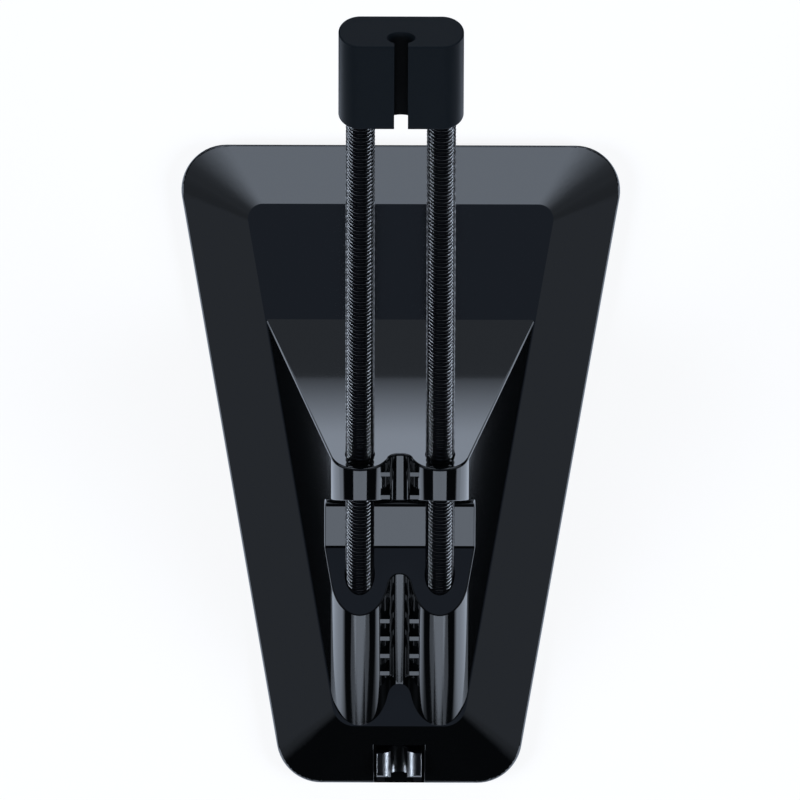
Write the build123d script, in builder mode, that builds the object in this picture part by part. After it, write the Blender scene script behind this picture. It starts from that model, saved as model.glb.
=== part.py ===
# Mouse bungee: a weighted, bevelled base whose wedge tower carries two close-coiled springs,
# and a soft head at the end of the springs that holds a mouse's cable off the desk.
# Millimetres. +X is to the right, +Y to the front (towards the mouse), +Z up.
# The origin is at the bottom centre of the whole object's box.
import math
import os

from build123d import *

# Base in plan: a trapezoid that narrows towards the rear
side_taper = 10.0            # degrees that each side closes in
base_front = 40.8
base_rear = -61.4
base_corner_radius = 7.2
front_bevel_run = 9.4
rear_bevel_run = 9.2
side_bevel_run = 10.13
floor_front_radius = 2.4
floor_rear_radius = 3.6
floor_margin = 0.15          # strip of floor left beside the tower

# Heights above the desk
foot_proud = 0.8
lip_top = 3.0
floor_top = 10.2
edge_radius = 0.3
lip_radius = 0.8             # round rim between the bevels and the upright lip

# Spring arm: the axes meet the base's floor at spring_foot and lean to the front
arm_lean = 45.0
spring_foot = -45.4
spring_x = 6.38
spring_radius = 2.32
wire = 0.8
ridge_turns = 3              # wire turns that one ridge of the solid spring stands for
spring_hole_radius = 2.42
spring_start = 10.0          # along the axis, from the floor
spring_end = 143.0
ridges_start = 22.0
ridges_end = 131.0

# Tower: a prism along the springs, cut off by the ramp
tower_start = -20.0          # along the springs, below the floor
tower_length = 100.0
cut_margin = 4.0             # how far a section runs on past the face that ends it
ramp_slope = 60.5
ramp_foot = 12.9
lobe_radius = 4.7
groove_fillet = 1.8
tower_sink = 0.5
notch_floor = 17.88          # height of the window's ledge above the floor
notch_face = -15.6           # the collar's upright rear face
notch_wall_depth = 3.01      # from the springs' axes to the window's front wall
notch_low_fillet = 0.8
notch_high_fillet = 3.8

# Teeth that grip the cable in the groove between the two lobes
tooth_length = 0.9
tooth_crest = 3.37           # from the springs' axes back to the teeth's outer faces
tooth_root = 0.6
tooth_gap_half = 1.6
tooth_reach = 3.4
tooth_places = [5.9, 9.9, 13.9, 17.9, 46.3, 51.5]

# Head
head_start = 129.3
head_height = 18.4
head_radius = 3.48
head_edge = 0.25
socket_depth = 13.7
socket_radius = 2.42
cable_hole_half_width = 2.26
cable_hole_half_depth = 1.31
cable_hole_back = 1.4        # from the springs' axes back to the hole's middle
cable_slot_width = 2.16

# Cable clip in the rear bevel, measured along and up from its bay's sloping floor
clip_bay_half_width = 4.0
clip_bay_front = -55.2
clip_bay_floor = 2.0         # height of the bay's floor at the base's rear edge
clip_bay_edge = 0.2
clip_slope = 19.5            # degrees that the bay's floor falls to the rear
clip_front = -6.48           # along the floor, from the base's rear edge
clip_rear = -2.0
clip_half_width = 3.6
clip_height = 3.9
clip_flat = 0.85
clip_flat_rear = -2.65
clip_rear_lean = 30.0        # degrees that the jaws' rear ends lean
clip_edge = 0.15
clip_gap_half = 1.32
clip_seat_radius = 1.6
clip_seat_height = 1.9
clip_lead_radius = 2.6       # the jaws' rounded lead-in faces
clip_mouth_half_width = 2.3
clip_stop_rear = -0.4
clip_stop_height = 0.7

# Underside: cover, ballast, feet and screws
cover_thickness = 1.8
cover_inset = 1.6
cover_gap = 0.2
cover_rear = -52.6
cavity_top = 7.9
cavity_inset = 3.0
cavity_margin = 0.6          # the cavity's roof reaches this far past the floor's outline
cavity_rear = -50.5
cavity_radius = 3.0
ballast_thickness = 4.4
ballast_half_at_foot = 12.4
ballast_front = 32.2
ballast_rear = -49.6
foot_recess = 0.8
foot_gap = 0.15
front_foot_span = (16.0, 36.0)
rear_foot_span = (-50.0, -41.0)
foot_side_inset = 4.5
foot_radius = 2.0
screw_places = [(19.5, 8.0), (-19.5, 8.0), (12.0, -35.0), (-12.0, -35.0)]
boss_radius = 2.8
boss_gap = 0.4
screw_radius = 1.2
screw_head_radius = 2.2
screw_length = 5.4
screw_gap = 0.1
pin_radius = 1.42
pin_start = 3.0
pin_end = 20.0
pin_gap = 0.05

taper = math.tan(math.radians(side_taper))
lean = math.radians(arm_lean)
section_slope = taper / math.cos(lean)
section_angle = math.atan(section_slope)
floor_half_at_foot = spring_x + lobe_radius / math.cos(section_angle)
base_bottom = foot_proud
cover_top = base_bottom + cover_thickness

# Across the springs: local +Z runs up the springs, local +Y to the front and down
arm_plane = Plane(
    origin=(0, spring_foot, floor_top),
    x_dir=(1, 0, 0),
    z_dir=(0, math.sin(lean), math.cos(lean)),
)
ramp = math.radians(ramp_slope)
ramp_plane = Plane(
    origin=(0, ramp_foot, floor_top),
    x_dir=(1, 0, 0),
    z_dir=(0, math.sin(ramp), math.cos(ramp)),
)


def trapezoid(height, half_at_foot, front, rear, front_radius, rear_radius):
    # A rounded trapezoid at one height, given by its half width beside the springs' foot
    def half(y):
        return half_at_foot + taper * (y - spring_foot)

    with BuildSketch(Plane.XY.offset(height)) as outline:
        with BuildLine():
            Polyline(
                (-half(front), front),
                (half(front), front),
                (half(rear), rear),
                (-half(rear), rear),
                close=True,
            )
        make_face()
        fillet(outline.vertices().group_by(Axis.Y)[-1], front_radius)
        fillet(outline.vertices().group_by(Axis.Y)[0], rear_radius)
    return outline.sketch


outer_half_at_foot = floor_half_at_foot + side_bevel_run
floor_front = base_front - front_bevel_run
floor_rear = base_rear + rear_bevel_run

# Tower
tower_reach = (ramp_foot - spring_foot) * math.cos(lean) + cut_margin
tangent_x = spring_x + lobe_radius * math.cos(section_angle)
tangent_y = -lobe_radius * math.sin(section_angle)
reach_half = floor_half_at_foot + section_slope * tower_reach

with BuildPart() as tower:
    with BuildSketch(arm_plane.offset(tower_start)) as tower_section:
        with BuildLine():
            Polyline(
                (tangent_x, tangent_y),
                (spring_x, 0),
                (-spring_x, 0),
                (-tangent_x, tangent_y),
                (-reach_half, tower_reach),
                (reach_half, tower_reach),
                close=True,
            )
        make_face()
        with Locations((-spring_x, 0), (spring_x, 0)):
            Circle(lobe_radius)
        groove_corners = tower_section.vertices().filter_by_position(Axis.X, -spring_x / 2, spring_x / 2)
        fillet(groove_corners, groove_fillet)
    extrude(amount=tower_length)
    split(bisect_by=ramp_plane, keep=Keep.BOTTOM)
    split(bisect_by=Plane.XY.offset(floor_top - tower_sink), keep=Keep.TOP)
    # window below the collar, through which the springs show
    ledge_z = floor_top + notch_floor
    wall_offset = notch_wall_depth / math.cos(lean)
    wall_foot = spring_foot + notch_floor * math.tan(lean) + wall_offset
    wall_head = ledge_z + (notch_face - wall_foot) / math.tan(lean)
    with BuildSketch(Plane.YZ) as window:
        with BuildLine():
            Polyline(
                (base_rear, ledge_z),
                (wall_foot, ledge_z),
                (notch_face, wall_head),
                (notch_face, tower_length),
                (base_rear, tower_length),
                close=True,
            )
        make_face()
        low_corner = window.vertices().sort_by_distance((wall_foot, ledge_z, 0))[0]
        fillet(low_corner, notch_low_fillet)
        high_corner = window.vertices().sort_by_distance((notch_face, wall_head, 0))[0]
        fillet(high_corner, notch_high_fillet)
    extrude(amount=base_front, both=True, mode=Mode.SUBTRACT)
    # softened edges round the window and the ramp
    window_edges = tower.edges(Select.LAST)
    inner_edges = window_edges.filter_by(Axis.X).filter_by(lambda edge: edge.length > spring_x)
    fillet(window_edges - inner_edges, edge_radius)
    ramp_edges = tower.faces().filter_by(ramp_plane)[0].edges()
    fillet(ramp_edges.filter_by_position(Axis.Z, floor_top + edge_radius, tower_length), edge_radius)
    # teeth
    for place in tooth_places:
        with BuildSketch(arm_plane.offset(place - tooth_length / 2)):
            tooth_x = (tooth_gap_half + tooth_reach) / 2
            tooth_y = -(tooth_crest + tooth_root) / 2
            with Locations((-tooth_x, tooth_y), (tooth_x, tooth_y)):
                Rectangle(tooth_reach - tooth_gap_half, tooth_crest - tooth_root)
        extrude(amount=tooth_length)


def bay_floor(y):
    # Height of the clip bay's sloping floor
    return clip_bay_floor + math.tan(math.radians(clip_slope)) * (y - base_rear)


# Shell: bevelled base and tower in one moulding
with BuildPart() as base_shell:
    base_radii = (base_corner_radius, base_corner_radius)
    floor_radii = (floor_front_radius, floor_rear_radius)
    lip = trapezoid(base_bottom, outer_half_at_foot, base_front, base_rear, *base_radii)
    extrude(to_extrude=lip, amount=lip_top - base_bottom)
    bevel_low = trapezoid(lip_top, outer_half_at_foot, base_front, base_rear, *base_radii)
    floor_half = floor_half_at_foot + floor_margin
    bevel_high = trapezoid(floor_top, floor_half, floor_front, floor_rear, *floor_radii)
    loft(sections=[bevel_low, bevel_high])
    fillet(base_shell.edges().filter_by_position(Axis.Z, lip_top, lip_top), lip_radius)
    # bay for the cable clip, open to the rear
    with BuildSketch(Plane.YZ):
        with BuildLine():
            Polyline(
                (clip_bay_front, bay_floor(clip_bay_front)),
                (clip_bay_front, floor_top),
                (base_rear - cut_margin, floor_top),
                (base_rear - cut_margin, bay_floor(base_rear - cut_margin)),
                close=True,
            )
        make_face()
    extrude(amount=clip_bay_half_width, both=True, mode=Mode.SUBTRACT)
    bay_sides = base_shell.edges(Select.LAST).filter_by(lambda edge: abs(edge.center().X) > clip_half_width)
    bay_rims = bay_sides.filter_by(lambda edge: edge.center().Z > bay_floor(edge.center().Y) + clip_edge)
    fillet(bay_rims.filter_by_position(Axis.Y, base_rear, clip_bay_front, (True, False)), clip_bay_edge)
    add(tower.part)
    # bores for the springs and for the pins at their lower ends
    with BuildSketch(arm_plane.offset(spring_start)):
        with Locations((-spring_x, 0), (spring_x, 0)):
            Circle(spring_hole_radius)
    extrude(amount=spring_end, mode=Mode.SUBTRACT)
    with BuildSketch(arm_plane.offset(pin_start)):
        with Locations((-spring_x, 0), (spring_x, 0)):
            Circle(pin_radius + pin_gap)
    extrude(amount=spring_start - pin_start, mode=Mode.SUBTRACT)
    # seat for the cover, cavity for the ballast, and the screw bosses
    seat_half = outer_half_at_foot - cover_inset
    seat = trapezoid(base_bottom, seat_half, base_front - cover_inset, cover_rear, *base_radii)
    extrude(to_extrude=seat, amount=cover_thickness, mode=Mode.SUBTRACT)
    cavity_low_half = outer_half_at_foot - cavity_inset
    cavity_low_front = base_front - cavity_inset
    cavity_radii = (cavity_radius, cavity_radius)
    cavity_low = trapezoid(cover_top, cavity_low_half, cavity_low_front, cavity_rear, *cavity_radii)
    cavity_half = floor_half + cavity_margin
    cavity_front = floor_front + cavity_margin
    cavity_high = trapezoid(cavity_top, cavity_half, cavity_front, cavity_rear, *cavity_radii)
    loft(sections=[cavity_low, cavity_high], mode=Mode.SUBTRACT)
    with BuildSketch(Plane.XY.offset(cover_top)):
        with Locations(*screw_places):
            Circle(boss_radius)
    extrude(amount=cavity_top - cover_top)
    with BuildSketch(Plane.XY.offset(cover_top)):
        with Locations(*screw_places):
            Circle(screw_radius + screw_gap)
    extrude(amount=screw_length - cover_thickness + screw_gap, mode=Mode.SUBTRACT)


def foot_outline(height, span, gap):
    # A rubber foot's outline, drawn in by a gap all round
    rear, front = span
    half_at_foot = outer_half_at_foot - cover_inset - foot_side_inset - gap
    return trapezoid(height, half_at_foot, front - gap, rear + gap, foot_radius, foot_radius)


# Cover that closes the underside, with recesses for the feet
with BuildPart() as bottom_cover:
    cover_half = seat_half - cover_gap
    cover_front = base_front - cover_inset - cover_gap
    plate = trapezoid(base_bottom, cover_half, cover_front, cover_rear + cover_gap, *base_radii)
    extrude(to_extrude=plate, amount=cover_thickness)
    for span in (front_foot_span, rear_foot_span):
        extrude(to_extrude=foot_outline(base_bottom, span, 0), amount=foot_recess, mode=Mode.SUBTRACT)
    with Locations(Plane(origin=(0, 0, base_bottom), z_dir=(0, 0, -1), x_dir=(1, 0, 0))):
        with Locations(*[(x, -y) for x, y in screw_places]):
            CounterSinkHole(screw_radius + screw_gap, screw_head_radius + screw_gap, cover_thickness)

# Steel ballast that rests on the cover
with BuildPart() as ballast_plate:
    slab = trapezoid(cover_top, ballast_half_at_foot, ballast_front, ballast_rear, *cavity_radii)
    extrude(to_extrude=slab, amount=ballast_thickness)
    with BuildSketch(Plane.XY.offset(cover_top)):
        with Locations(*screw_places):
            Circle(boss_radius + boss_gap)
    extrude(amount=ballast_thickness, mode=Mode.SUBTRACT)

# Rubber feet
with BuildPart() as front_foot:
    extrude(to_extrude=foot_outline(0, front_foot_span, foot_gap), amount=foot_proud + foot_recess)
    fillet(front_foot.faces().sort_by(Axis.Z)[0].edges(), edge_radius)

with BuildPart() as rear_foot:
    extrude(to_extrude=foot_outline(0, rear_foot_span, foot_gap), amount=foot_proud + foot_recess)
    fillet(rear_foot.faces().sort_by(Axis.Z)[0].edges(), edge_radius)

# Countersunk screws through the cover into the bosses
screw_head_depth = screw_head_radius - screw_radius
with BuildPart() as cover_screws:
    for x, y in screw_places:
        with BuildSketch(Plane.XZ.offset(-y)):
            with BuildLine():
                Polyline(
                    (x, base_bottom + screw_gap),
                    (x + screw_head_radius, base_bottom + screw_gap),
                    (x + screw_radius, base_bottom + screw_gap + screw_head_depth),
                    (x + screw_radius, base_bottom + screw_length),
                    (x, base_bottom + screw_length),
                    close=True,
                )
            make_face()
        revolve(axis=Axis((x, y, 0), (0, 0, 1)))

# Springs: tubes whose ridges follow the close coils
ridge_pitch = ridge_turns * wire
ridge_count = math.floor((ridges_end - ridges_start) / ridge_pitch)
groove_radius = spring_radius - wire / 2


def spring_profile(place):
    # Half section of a spring, in the plane of its axis and the X direction
    outline = [(spring_radius - wire, spring_start), (groove_radius, spring_start)]
    for ridge in range(ridge_count):
        low = ridges_start + ridge * ridge_pitch
        outline.append((groove_radius, low))
        outline.append((spring_radius, low + ridge_pitch / 2))
    outline.append((groove_radius, ridges_start + ridge_count * ridge_pitch))
    outline.append((groove_radius, spring_end))
    outline.append((spring_radius - wire, spring_end))
    axis_plane = Plane(
        origin=(place, spring_foot, floor_top),
        x_dir=(1, 0, 0),
        z_dir=(0, -math.cos(lean), math.sin(lean)),
    )
    with BuildSketch(axis_plane) as profile:
        with BuildLine():
            Polyline(*outline, close=True)
        make_face()
    return profile.sketch


def spring_axis(place):
    return Axis((place, spring_foot, floor_top), arm_plane.z_dir)


with BuildPart() as left_spring:
    revolve(profiles=spring_profile(-spring_x), axis=spring_axis(-spring_x))

with BuildPart() as right_spring:
    revolve(profiles=spring_profile(spring_x), axis=spring_axis(spring_x))

# Steel pins that hold the lower ends of the springs in the tower
with BuildPart() as left_anchor_pin:
    with BuildSketch(arm_plane.offset(pin_start)):
        with Locations((-spring_x, 0)):
            Circle(pin_radius)
    extrude(amount=pin_end - pin_start)

with BuildPart() as right_anchor_pin:
    with BuildSketch(arm_plane.offset(pin_start)):
        with Locations((spring_x, 0)):
            Circle(pin_radius)
    extrude(amount=pin_end - pin_start)

# Soft head: a stadium with its ends round the springs, and a slotted cable hole
slot_end = head_radius + cut_margin
with BuildPart() as cable_cap:
    with BuildSketch(arm_plane.offset(head_start)):
        SlotCenterToCenter(2 * spring_x, 2 * head_radius)
    extrude(amount=head_height)
    fillet(cable_cap.faces().filter_by(arm_plane).edges(), head_edge)
    with BuildSketch(arm_plane.offset(head_start)):
        with Locations((0, -cable_hole_back)):
            Ellipse(cable_hole_half_width, cable_hole_half_depth)
        with Locations((0, -(cable_hole_back + slot_end) / 2)):
            Rectangle(cable_slot_width, slot_end - cable_hole_back)
    extrude(amount=head_height, mode=Mode.SUBTRACT)
    with BuildSketch(arm_plane.offset(head_start)):
        with Locations((-spring_x, 0), (spring_x, 0)):
            Circle(socket_radius)
    extrude(amount=socket_depth, mode=Mode.SUBTRACT)

# Cable clip: two jaws with lead-in faces over a round seat, and low stops at the bay's open end
fall = math.radians(clip_slope)
clip_plane = Plane(
    origin=(0, base_rear, clip_bay_floor),
    x_dir=(1, 0, 0),
    z_dir=(0, -math.cos(fall), -math.sin(fall)),
)
lip_height = clip_seat_height + math.sqrt(clip_seat_radius**2 - clip_gap_half**2)
with BuildPart() as cable_clip:
    with BuildSketch(clip_plane.offset(clip_front)):
        with BuildLine():
            outer_side = Polyline(
                (0, 0),
                (clip_half_width, 0),
                (clip_half_width, clip_height),
                (clip_half_width - clip_flat, clip_height),
            )
            lead_in = RadiusArc(outer_side @ 1, (clip_gap_half, lip_height), -clip_lead_radius)
            Polyline(lead_in @ 1, (0, lip_height), (0, 0))
        make_face()
        mirror(about=Plane.YZ)
        with Locations((0, clip_seat_height)):
            Circle(clip_seat_radius, mode=Mode.SUBTRACT)
        with Locations((0, clip_height)):
            Rectangle(2 * clip_gap_half, 2 * (clip_height - clip_seat_height), mode=Mode.SUBTRACT)
    extrude(amount=clip_rear - clip_front)
    rear_end = Plane(clip_plane.offset(clip_flat_rear).location * Location((0, clip_height, 0)))
    split(bisect_by=rear_end.rotated((-clip_rear_lean, 0, 0)), keep=Keep.BOTTOM)
    clip_up = Axis(clip_plane.origin, clip_plane.y_dir)
    flats = cable_clip.faces().filter_by(clip_up).sort_by(clip_up)[-2:]
    fillet(flats.edges().filter_by(lambda edge: abs(edge.center().X) > clip_half_width - clip_flat), clip_edge)
    with BuildSketch(clip_plane.offset(clip_rear)):
        stop_x = (clip_half_width + clip_mouth_half_width) / 2
        with Locations((-stop_x, clip_stop_height / 2), (stop_x, clip_stop_height / 2)):
            Rectangle(clip_half_width - clip_mouth_half_width, clip_stop_height)
    extrude(amount=clip_stop_rear - clip_rear)

pieces = {
    "base_shell": base_shell,
    "bottom_cover": bottom_cover,
    "ballast_plate": ballast_plate,
    "front_foot": front_foot,
    "rear_foot": rear_foot,
    "cover_screws": cover_screws,
    "left_spring": left_spring,
    "right_spring": right_spring,
    "left_anchor_pin": left_anchor_pin,
    "right_anchor_pin": right_anchor_pin,
    "cable_cap": cable_cap,
    "cable_clip": cable_clip,
}
os.makedirs("parts", exist_ok=True)
for name, piece in pieces.items():
    piece.part.label = name
    export_step(piece.part, f"parts/{name}.step")
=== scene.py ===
import math

import bpy
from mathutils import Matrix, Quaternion, Vector


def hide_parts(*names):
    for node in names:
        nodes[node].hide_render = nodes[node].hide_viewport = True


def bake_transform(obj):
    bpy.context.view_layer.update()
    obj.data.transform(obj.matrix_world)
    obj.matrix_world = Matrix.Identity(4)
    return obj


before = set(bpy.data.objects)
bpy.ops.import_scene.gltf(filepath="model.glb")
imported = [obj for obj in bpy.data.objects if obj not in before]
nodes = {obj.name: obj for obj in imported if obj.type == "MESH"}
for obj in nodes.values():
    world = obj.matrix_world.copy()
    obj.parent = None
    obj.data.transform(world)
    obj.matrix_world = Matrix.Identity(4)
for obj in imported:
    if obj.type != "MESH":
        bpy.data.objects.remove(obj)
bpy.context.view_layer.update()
print("frame loaded:", len(nodes), "nodes")

mm = 0.001


def linearColour(hexText):
    # sRGB hex to the linear colour that the shaders take
    channels = [int(hexText[i:i + 2], 16) / 255 for i in (1, 3, 5)]
    return [c / 12.92 if c <= 0.04045 else ((c + 0.055) / 1.055) ** 2.4 for c in channels] + [1.0]


def addNode(tree, kind, values=None, links=None, **settings):
    # one node with its settings, its fixed inputs and the sockets that feed it
    node = tree.nodes.new(kind)
    for name, value in settings.items():
        setattr(node, name, value)
    for socket, value in (values or {}).items():
        node.inputs[socket].default_value = value
    for socket, source in (links or {}).items():
        tree.links.new(source, node.inputs[socket])
    return node


def startMaterial(name):
    material = bpy.data.materials.new(name)
    material.use_nodes = True
    material.node_tree.nodes.clear()
    return material, material.node_tree


def dress(nodeNames, material):
    for name in nodeNames:
        mesh = nodes[name].data
        mesh.materials.clear()
        mesh.materials.append(material)


# The grain that a mould's surface leaves, the same kind on every plastic and rubber piece
grainLook = {"detail": 2.0, "breakUp": 0.6, "relief": 0.35}


def mouldedSkin(name, look):
    material, tree = startMaterial(name)
    place = addNode(tree, "ShaderNodeTexCoord")
    grain = addNode(tree, "ShaderNodeTexNoise",
                    {"Scale": 1 / look["grainSize"], "Detail": grainLook["detail"],
                     "Roughness": grainLook["breakUp"]},
                    {"Vector": place.outputs["Object"]}).outputs["Fac"]
    colour = addNode(tree, "ShaderNodeMix",
                     {"A": linearColour(look["colour"]), "B": linearColour(look["paleGrain"])},
                     {"Factor": grain}, data_type="RGBA")
    low, high = look["roughness"]
    sheen = addNode(tree, "ShaderNodeMapRange", {"To Min": low, "To Max": high}, {"Value": grain})
    bump = addNode(tree, "ShaderNodeBump",
                   {"Strength": grainLook["relief"], "Distance": look["grainDepth"]},
                   {"Height": grain})
    skin = addNode(tree, "ShaderNodeBsdfPrincipled", {"IOR": look["ior"]},
                   {"Base Color": colour.outputs["Result"], "Roughness": sheen.outputs["Result"],
                    "Normal": bump.outputs["Normal"]})
    addNode(tree, "ShaderNodeOutputMaterial", links={"Surface": skin.outputs["BSDF"]})
    return material


# Black ABS, injection moulded in a finely finished tool: a skin that mirrors the room softly,
# with a faint even grain
shellLook = {
    "colour": "#050606",
    "paleGrain": "#08090a",
    "grainSize": 0.35 * mm,     # real grain is about 0.1 mm, drawn coarser so that it shows
    "grainDepth": 0.002 * mm,
    "roughness": (0.055, 0.08),
    "ior": 1.9,                 # ABS is 1.54, raised to the strength of the real one's reflections
}
dress(["base_shell"], mouldedSkin("smoothBlackAbs", shellLook))

# Soft thermoplastic rubber, moulded: a matte skin that scatters the little that it mirrors
capLook = {
    "colour": "#171b1f",
    "paleGrain": "#1c2125",
    "grainSize": 0.5 * mm,
    "grainDepth": 0.004 * mm,
    "roughness": (0.4, 0.48),
    "ior": 1.3,                 # rubber is 1.5, lowered for the dull bloom on its skin
}
dress(["cable_cap"], mouldedSkin("softMatteRubber", capLook))

# Acetal, moulded smooth so that the cable slides in between the jaws: a soft bright sheen
clipLook = {
    "colour": "#050506",
    "paleGrain": "#08080a",
    "grainSize": 0.8 * mm,
    "grainDepth": 0.001 * mm,
    "roughness": (0.26, 0.34),
    "ior": 1.9,                 # acetal is 1.48, raised as the shell's is
}
dress(["cable_clip"], mouldedSkin("smoothAcetal", clipLook))

# Moulded rubber feet: dull, with a coarse grain that grips
footLook = {
    "colour": "#131314",
    "paleGrain": "#1c1c1d",
    "grainSize": 0.6 * mm,
    "grainDepth": 0.02 * mm,
    "roughness": (0.7, 0.85),
    "ior": 1.5,
}
dress(["front_foot", "rear_foot"], mouldedSkin("footRubber", footLook))

# Black ABS under the base, left with the tool's spark-eroded texture: matte and even
coverLook = {
    "colour": "#101113",
    "paleGrain": "#17181b",
    "grainSize": 0.5 * mm,
    "grainDepth": 0.012 * mm,
    "roughness": (0.42, 0.55),
    "ior": 1.54,
}
dress(["bottom_cover"], mouldedSkin("texturedBlackAbs", coverLook))

# The soft patches in a metal's or a lacquer's gloss
patchLook = {"detail": 3.0}


def patchyGloss(name, look, fixed):
    material, tree = startMaterial(name)
    place = addNode(tree, "ShaderNodeTexCoord")
    patches = addNode(tree, "ShaderNodeTexNoise",
                      {"Scale": 1 / look["patchSize"], "Detail": patchLook["detail"]},
                      {"Vector": place.outputs["Object"]})
    low, high = look["roughness"]
    sheen = addNode(tree, "ShaderNodeMapRange", {"To Min": low, "To Max": high},
                    {"Value": patches.outputs["Fac"]})
    skin = addNode(tree, "ShaderNodeBsdfPrincipled",
                   {"Base Color": linearColour(look["colour"]), **fixed},
                   {"Roughness": sheen.outputs["Result"]})
    addNode(tree, "ShaderNodeOutputMaterial", links={"Surface": skin.outputs["BSDF"]})
    return material


# Steel screws, zinc plated: pale and bright
screwLook = {"colour": "#b9bcc0", "roughness": (0.22, 0.34), "patchSize": 0.4 * mm}
dress(["cover_screws"], patchyGloss("zincPlatedSteel", screwLook, {"Metallic": 1.0}))

# Bare steel as it comes from the rolls, on the hidden weight and pins: grey, dull in streaks
ballastLook = {"colour": "#8b8d90", "roughness": (0.3, 0.5), "patchSize": 1.5 * mm}
dress(["ballast_plate", "left_anchor_pin", "right_anchor_pin"],
      patchyGloss("rolledSteel", ballastLook, {"Metallic": 1.0}))

# Black lacquer baked on spring steel: a smooth gloss with fainter patches along the wire
wireLook = {"colour": "#040405", "roughness": (0.05, 0.08), "patchSize": 2.0 * mm, "ior": 1.5}
blackLacquer = patchyGloss("blackLacqueredWire", wireLook, {"IOR": wireLook["ior"]})
print("materials made")

# Close-coiled springs: one wire wound turn against turn, leaning to the front
springLook = {
    "foot": (6.38 * mm, -45.4 * mm, 10.2 * mm),   # where the right axis meets the base's floor
    "lean": 45.0,
    "start": 10.0 * mm,         # along the axis, from the floor
    "end": 143.0 * mm,
    "outerRadius": 2.32 * mm,
    "wire": 0.8 * mm,
    "stepsPerTurn": 28,
    "wireSides": 9,
    "bendFrom": 53.0 * mm,      # the arm bends between these two places along the axis
    "bendTo": 76.0 * mm,
}

coil = bpy.data.node_groups.new("closeCoil", "GeometryNodeTree")
coil.interface.new_socket("Geometry", in_out="OUTPUT", socket_type="NodeSocketGeometry")
coilSockets = {}
for name, kind in (("Coil Radius", "Float"), ("Wire Radius", "Float"), ("Length", "Float"),
                   ("Turns", "Float"), ("Steps per Turn", "Int"), ("Wire Sides", "Int"),
                   ("Lean", "Float"), ("Foot", "Vector"), ("Material", "Material")):
    socket = coil.interface.new_socket(name, in_out="INPUT", socket_type="NodeSocket" + kind)
    coilSockets[name] = socket.identifier
given = addNode(coil, "NodeGroupInput").outputs
path = addNode(coil, "GeometryNodeCurveSpiral", links={
    "Resolution": given["Steps per Turn"], "Rotations": given["Turns"],
    "Start Radius": given["Coil Radius"], "End Radius": given["Coil Radius"],
    "Height": given["Length"]})
section = addNode(coil, "GeometryNodeCurvePrimitiveCircle", links={
    "Resolution": given["Wire Sides"], "Radius": given["Wire Radius"]})
wound = addNode(coil, "GeometryNodeCurveToMesh", {"Fill Caps": True}, {
    "Curve": path.outputs["Curve"], "Profile Curve": section.outputs["Curve"]})
turn = addNode(coil, "ShaderNodeCombineXYZ", links={"X": given["Lean"]})
placed = addNode(coil, "GeometryNodeTransform", links={
    "Geometry": wound.outputs["Mesh"], "Translation": given["Foot"],
    "Rotation": turn.outputs["Vector"]})
smooth = addNode(coil, "GeometryNodeSetShadeSmooth", links={
    "Geometry": placed.outputs["Geometry"]})
real = addNode(coil, "GeometryNodeRealizeInstances", links={
    "Geometry": smooth.outputs["Geometry"]})
painted = addNode(coil, "GeometryNodeSetMaterial", links={
    "Geometry": real.outputs["Geometry"], "Material": given["Material"]})
addNode(coil, "NodeGroupOutput", links={"Geometry": painted.outputs["Geometry"]})


def alongArm(distance, side=0.0):
    # a point on the springs' axes, so far up from the base's floor
    x, y, z = springLook["foot"]
    lean = math.radians(springLook["lean"])
    return Vector((side * x, y + distance * math.sin(lean), z + distance * math.cos(lean)))


length = springLook["end"] - springLook["start"]
wireRadius = springLook["wire"] / 2
for name, side, node in (("leftCoil", -1, "left_spring"), ("rightCoil", 1, "right_spring")):
    maker = bpy.data.objects.new(name + "Maker", bpy.data.meshes.new(name + "Maker"))
    bpy.context.collection.objects.link(maker)
    winding = maker.modifiers.new("winding", "NODES")
    winding.node_group = coil
    for socket, value in {
        "Coil Radius": springLook["outerRadius"] - wireRadius,
        "Wire Radius": wireRadius,
        "Length": length,
        "Turns": length / springLook["wire"],
        "Steps per Turn": springLook["stepsPerTurn"],
        "Wire Sides": springLook["wireSides"],
        "Lean": -math.radians(springLook["lean"]),
        "Foot": alongArm(springLook["start"], side),
        "Material": blackLacquer,
    }.items():
        winding[coilSockets[socket]] = value
    wholeScene = bpy.context.evaluated_depsgraph_get()
    mesh = bpy.data.meshes.new_from_object(maker.evaluated_get(wholeScene))
    mesh.name = name
    maker.modifiers.remove(winding)
    bpy.data.objects.remove(maker)
    spring = bpy.data.objects.new(name, mesh)
    bpy.context.collection.objects.link(spring)
    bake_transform(spring)
    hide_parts(node)
    print(name, "wound:", len(mesh.polygons), "faces")

# A pale table under the object, with a pool of light painted into its colour and painted dark
# beyond it. The camera sees it near white.
# What the object mirrors of it is painted light, with painted shade before the base, behind it and
# far out to both sides.
stageLook = {
    "floorSize": 8.0,
    "paintedPoolColour": "#808080",
    "paintedDarkColour": "#161718",
    "paintedPoolEdge": (0.093, 0.11),      # metres from the middle over which the painted pool of light ends
    "groundGlow": 0.86,             # what the camera sees besides the lamps' light, in the pool
    "farGlow": 0.985,               # and beyond it, where white paper is 1
    "paper": "#ffffff",
    "paintedReflectionGlow": 1.25,           # painted light: the table's glow as the object mirrors it, in the lamps' tint
    "paintedReflectionTint": "#dfecff",
    "baseFront": 0.041,             # metres along Y where the painted shade before the base starts
    "paintedFrontShade": (0.0465, 0.0668),     # it lifts between these
    "paintedFrontStrip": 1.35,                # to a brighter painted strip,
    "paintedStripSides": (0.05, 0.03),         # which ends between these to either side
    "paintedRearShade": (-0.072, -0.05),   # the painted shade behind lifts between these,
    "rearSlant": 0.53,              # on lines that slant forward to each side
    "paintedSideShade": (0.125, 0.11),     # and the painted shade at the sides between these
}

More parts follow.
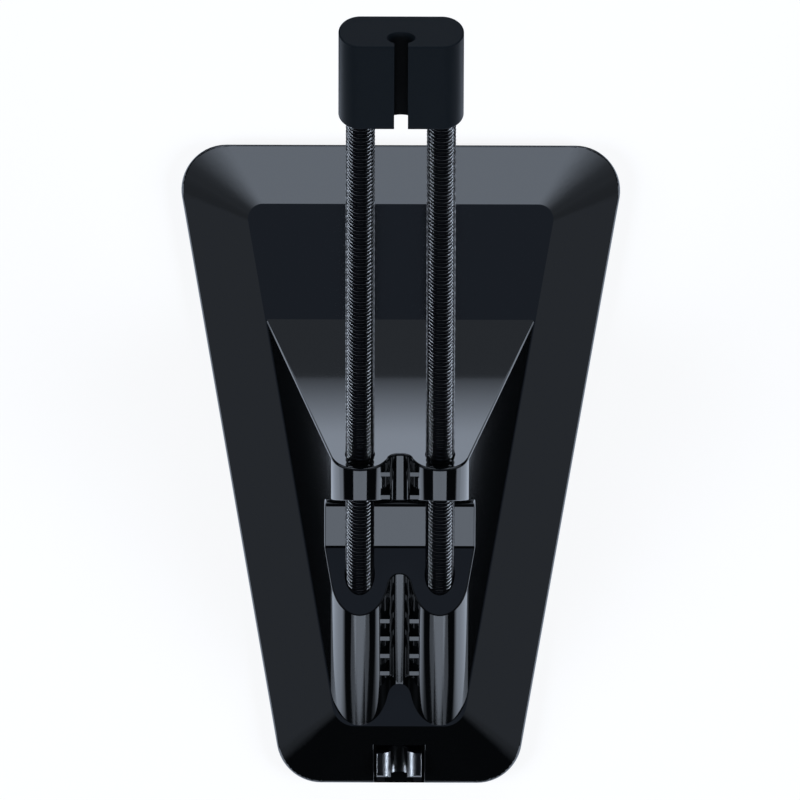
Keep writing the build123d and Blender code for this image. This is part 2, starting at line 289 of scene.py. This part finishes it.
floorMesh = bpy.data.meshes.new("paleFloor")
half = stageLook["floorSize"] / 2
floorMesh.from_pydata([(-half, -half, 0), (half, -half, 0), (half, half, 0), (-half, half, 0)],
                      [], [(0, 1, 2, 3)])
floor = bpy.data.objects.new("paleFloor", floorMesh)
bpy.context.collection.objects.link(floor)

paintedLightFloor, tree = startMaterial("paleFloorPaintedLight")
ray = addNode(tree, "ShaderNodeLightPath")
place = addNode(tree, "ShaderNodeTexCoord")
spot = addNode(tree, "ShaderNodeSeparateXYZ", links={"Vector": place.outputs["Object"]})
# Painted shade and a painted bright strip in the glow that reflections see: dark before the base,
# behind it and far out to the sides, brighter further ahead
sideways = addNode(tree, "ShaderNodeMath", links={0: spot.outputs["X"]}, operation="ABSOLUTE")
slanted = addNode(tree, "ShaderNodeMath", {1: stageLook["rearSlant"]},
                  {0: sideways.outputs[0], 2: spot.outputs["Y"]}, operation="MULTIPLY_ADD")
paintedShades = {}
for name, measure, top in (("paintedFrontShade", spot.outputs["Y"], stageLook["paintedFrontStrip"]),
                           ("paintedStripSides", sideways.outputs[0], 1.0),
                           ("paintedRearShade", slanted.outputs[0], 1.0),
                           ("paintedSideShade", sideways.outputs[0], 1.0)):
    low, high = stageLook[name]
    paintedShades[name] = addNode(tree, "ShaderNodeMapRange",
                          {"From Min": low, "From Max": high, "To Max": top},
                          {"Value": measure}).outputs["Result"]
front = addNode(tree, "ShaderNodeMath", links={0: paintedShades["paintedFrontShade"], 1: paintedShades["paintedStripSides"]},
                operation="MULTIPLY")
ahead = addNode(tree, "ShaderNodeMath", {1: stageLook["baseFront"]}, {0: spot.outputs["Y"]},
                operation="GREATER_THAN")
before = addNode(tree, "ShaderNodeMix", {"A": 1.0},
                 {"Factor": ahead.outputs[0], "B": front.outputs[0]}, data_type="FLOAT")
# the floor's glow for glossy rays: painted light, dimmed by the painted shades
paintedReflection = addNode(tree, "ShaderNodeMath", {1: stageLook["paintedReflectionGlow"]},
                   {0: ray.outputs["Is Glossy Ray"]}, operation="MULTIPLY")
for paintedShade in (before.outputs["Result"], paintedShades["paintedRearShade"], paintedShades["paintedSideShade"]):
    paintedReflection = addNode(tree, "ShaderNodeMath", links={0: paintedReflection.outputs[0], 1: paintedShade},
                       operation="MULTIPLY")

# A painted pool of light: the table's colour is pale near the middle and painted dark beyond
away = addNode(tree, "ShaderNodeVectorMath", links={0: place.outputs["Object"]},
               operation="LENGTH")
low, high = stageLook["paintedPoolEdge"]
paintedPool = addNode(tree, "ShaderNodeMapRange",
               {"From Min": low, "From Max": high, "To Min": 1.0, "To Max": 0.0},
               {"Value": away.outputs["Value"]},
               interpolation_type="SMOOTHSTEP").outputs["Result"]
pale = addNode(tree, "ShaderNodeMapRange",
               {"To Min": stageLook["farGlow"], "To Max": stageLook["groundGlow"]},
               {"Value": paintedPool})
seen = addNode(tree, "ShaderNodeMath",
               links={0: ray.outputs["Is Camera Ray"], 1: ray.outputs["Is Transmission Ray"]},
               operation="MAXIMUM")
glow = addNode(tree, "ShaderNodeMath",
               links={0: seen.outputs[0], 1: pale.outputs["Result"], 2: paintedReflection.outputs[0]},
               operation="MULTIPLY_ADD")
# white for the camera; the painted reflection glow takes the lamps' tint
tint = addNode(tree, "ShaderNodeMix",
               {"A": linearColour(stageLook["paper"]),
                "B": linearColour(stageLook["paintedReflectionTint"])},
               {"Factor": ray.outputs["Is Glossy Ray"]}, data_type="RGBA")
# the painted pool: pale paint inside it, painted dark outside it
paintedPoolMix = addNode(tree, "ShaderNodeMix",
                {"A": linearColour(stageLook["paintedDarkColour"]),
                 "B": linearColour(stageLook["paintedPoolColour"])},
                {"Factor": paintedPool}, data_type="RGBA")
matte = addNode(tree, "ShaderNodeBsdfDiffuse", links={"Color": paintedPoolMix.outputs["Result"]})
shine = addNode(tree, "ShaderNodeEmission",
                links={"Color": tint.outputs["Result"], "Strength": glow.outputs[0]})
both = addNode(tree, "ShaderNodeAddShader", links={0: matte.outputs[0], 1: shine.outputs[0]})
addNode(tree, "ShaderNodeOutputMaterial", links={"Surface": both.outputs[0]})
floorMesh.materials.append(paintedLightFloor)
print("floor made")

# The studio round the table: a dim room with a lit wall at the front, paler side walls and a
# paler ceiling. Each fades in between two values of the direction's X (to either side), Y or Z,
# by a power.
studioLook = {
    "room": {"bright": 0.008, "colour": "#e0edff", "fades": []},
    "frontWall": {"bright": 1.55, "colour": "#e0edff", "fades": [
        ("Y", 0.0, 0.97, 3.0), ("Z", 0.1, 0.24, 1.0), ("Z", 0.72, 0.55, 1.0)]},
    "sideWalls": {"bright": 0.06, "colour": "#d8e6ff", "fades": [
        ("X", 0.75, 0.9, 1.0), ("Y", -0.38, -0.24, 1.0), ("Y", -0.02, -0.12, 1.0),
        ("Z", 0.05, 0.2, 1.0)]},
    "walls": {"bright": 0.16, "colour": "#e0edff", "fades": [
        ("Z", 0.1, 0.26, 1.0), ("Z", 0.85, 0.6, 1.0), ("Y", -0.55, -0.4, 1.0),
        ("Y", 0.55, 0.3, 1.0)]},
    "ceiling": {"bright": 0.15, "colour": "#c8dcff", "fades": [("Z", 0.86, 0.96, 1.0)]},
}
world = bpy.data.worlds.new("studio")
bpy.context.scene.world = world
world.use_nodes = True
tree = world.node_tree
tree.nodes.clear()
place = addNode(tree, "ShaderNodeTexCoord")
heading = addNode(tree, "ShaderNodeSeparateXYZ", links={"Vector": place.outputs["Generated"]})
eitherSide = addNode(tree, "ShaderNodeMath", links={0: heading.outputs["X"]}, operation="ABSOLUTE")
headings = {"X": eitherSide.outputs[0], "Y": heading.outputs["Y"], "Z": heading.outputs["Z"]}
studio = None
for look in studioLook.values():
    glow = addNode(tree, "ShaderNodeBackground",
                   {"Color": linearColour(look["colour"]), "Strength": look["bright"]})
    share = None                    # of that brightness, what all of its fades together leave
    for axis, low, high, power in look["fades"]:
        fade = addNode(tree, "ShaderNodeMapRange", {"From Min": low, "From Max": high},
                       {"Value": headings[axis]})
        curve = addNode(tree, "ShaderNodeMath", {1: power}, {0: fade.outputs["Result"]},
                        operation="POWER")
        share = curve if share is None else addNode(
            tree, "ShaderNodeMath", links={0: share.outputs[0], 1: curve.outputs[0]},
            operation="MULTIPLY")
    if share:
        level = addNode(tree, "ShaderNodeMath", {1: look["bright"]}, {0: share.outputs[0]},
                        operation="MULTIPLY")
        tree.links.new(level.outputs[0], glow.inputs["Strength"])
    studio = glow if studio is None else addNode(
        tree, "ShaderNodeAddShader", links={0: studio.outputs[0], 1: glow.outputs[0]})
ray = addNode(tree, "ShaderNodeLightPath")
paper = addNode(tree, "ShaderNodeBackground",
                {"Color": linearColour(stageLook["paper"]), "Strength": stageLook["farGlow"]})
backdrop = addNode(tree, "ShaderNodeMixShader", links={
    0: ray.outputs["Is Camera Ray"], 1: studio.outputs[0], 2: paper.outputs[0]})
addNode(tree, "ShaderNodeOutputWorld", links={"Surface": backdrop.outputs[0]})
print("studio made")

# Soft boxes: where each stands, its size, and how bright its face is beside white paper at 1
lampLook = {
    "colour": "#e0edff",
    "aim": (0, 0, 0.03),
    "boxes": {
        "rearStrip": {"place": (0, -0.5, 0.028), "size": (0.32, 0.055), "bright": 1.35},
        "rearLeftCard": {"place": (-0.055, -0.2, 0.011), "size": (0.04, 0.022), "bright": 0.5},
        "rearRightCard": {"place": (0.055, -0.2, 0.011), "size": (0.04, 0.022), "bright": 0.5},
        "leftTube": {"place": (-1.0, -0.13, 0.16), "size": (1.42, 0.1), "bright": 40.0},
        "rightTube": {"place": (1.0, -0.13, 0.16), "size": (1.42, 0.1), "bright": 40.0},
        "leftBox": {"place": (-1.2, -0.3, 1.0), "size": (0.8, 0.8), "bright": 6.9},
        "rightBox": {"place": (1.2, -0.3, 1.0), "size": (0.8, 0.8), "bright": 6.9},
    },
    "notMirrored": ("leftBox", "rightBox"),
    "flagged": ("leftTube", "rightTube"),   # black flags keep these two off the floor
    "behindFlags": ("base_shell", "cable_cap"),     # and off these pieces
}
tubeFlags = bpy.data.collections.new("tubeFlags")
for thing in [nodes[name] for name in lampLook["behindFlags"]] + [floor]:
    tubeFlags.objects.link(thing)
for member in tubeFlags.collection_objects:
    member.light_linking.link_state = "EXCLUDE"
for name, look in lampLook["boxes"].items():
    lamp = bpy.data.lights.new(name, "AREA")
    lamp.shape = "RECTANGLE"
    lamp.size, lamp.size_y = look["size"]
    lamp.energy = look["bright"] * math.pi * lamp.size * lamp.size_y
    lamp.color = linearColour(lampLook["colour"])[:3]
    box = bpy.data.objects.new(name, lamp)
    box.location = look["place"]
    box.visible_glossy = name not in lampLook["notMirrored"]
    if name in lampLook["flagged"]:
        box.light_linking.receiver_collection = tubeFlags
    towards = Vector(lampLook["aim"]) - box.location
    box.rotation_euler = towards.to_track_quat("-Z", "Y").to_euler()
    bpy.context.collection.objects.link(box)
print("lamps made:", len(lampLook["boxes"]))

# The photograph looks straight down with no visible perspective, front edge up
cameraLook = {
    "lens": 1500.0,
    "sensor": 36.0,
    "frameWidth": 128.05 * mm,  # what the frame's width covers at the base's floor
    "floorHeight": 10.2 * mm,
    "aim": (-0.03 * mm, 0.05 * mm),
    "forward": 60 * mm,         # the lens stands over the arm, so that the head isn't pushed out
    "roll": 180.166,
    "reach": 2.0,               # how far it sees, in lengths of its distance
}
cameraData = bpy.data.cameras.new("topCamera")
cameraData.lens = cameraLook["lens"]
cameraData.sensor_width = cameraLook["sensor"]
camera = bpy.data.objects.new("topCamera", cameraData)
distance = cameraLook["frameWidth"] * cameraLook["lens"] / cameraLook["sensor"]
aim = Vector((*cameraLook["aim"], cameraLook["floorHeight"]))
camera.location = aim + Vector((0, cameraLook["forward"], distance))
camera.rotation_mode = "QUATERNION"
down = (aim - camera.location).to_track_quat("-Z", "Y")
camera.rotation_quaternion = down @ Quaternion((0, 0, 1), math.radians(cameraLook["roll"]))
cameraData.clip_end = cameraLook["reach"] * distance
bpy.context.collection.objects.link(camera)
bpy.context.scene.camera = camera
bpy.context.scene.view_settings.view_transform = "Standard"
print("camera stands at", [round(v, 4) for v in camera.location])
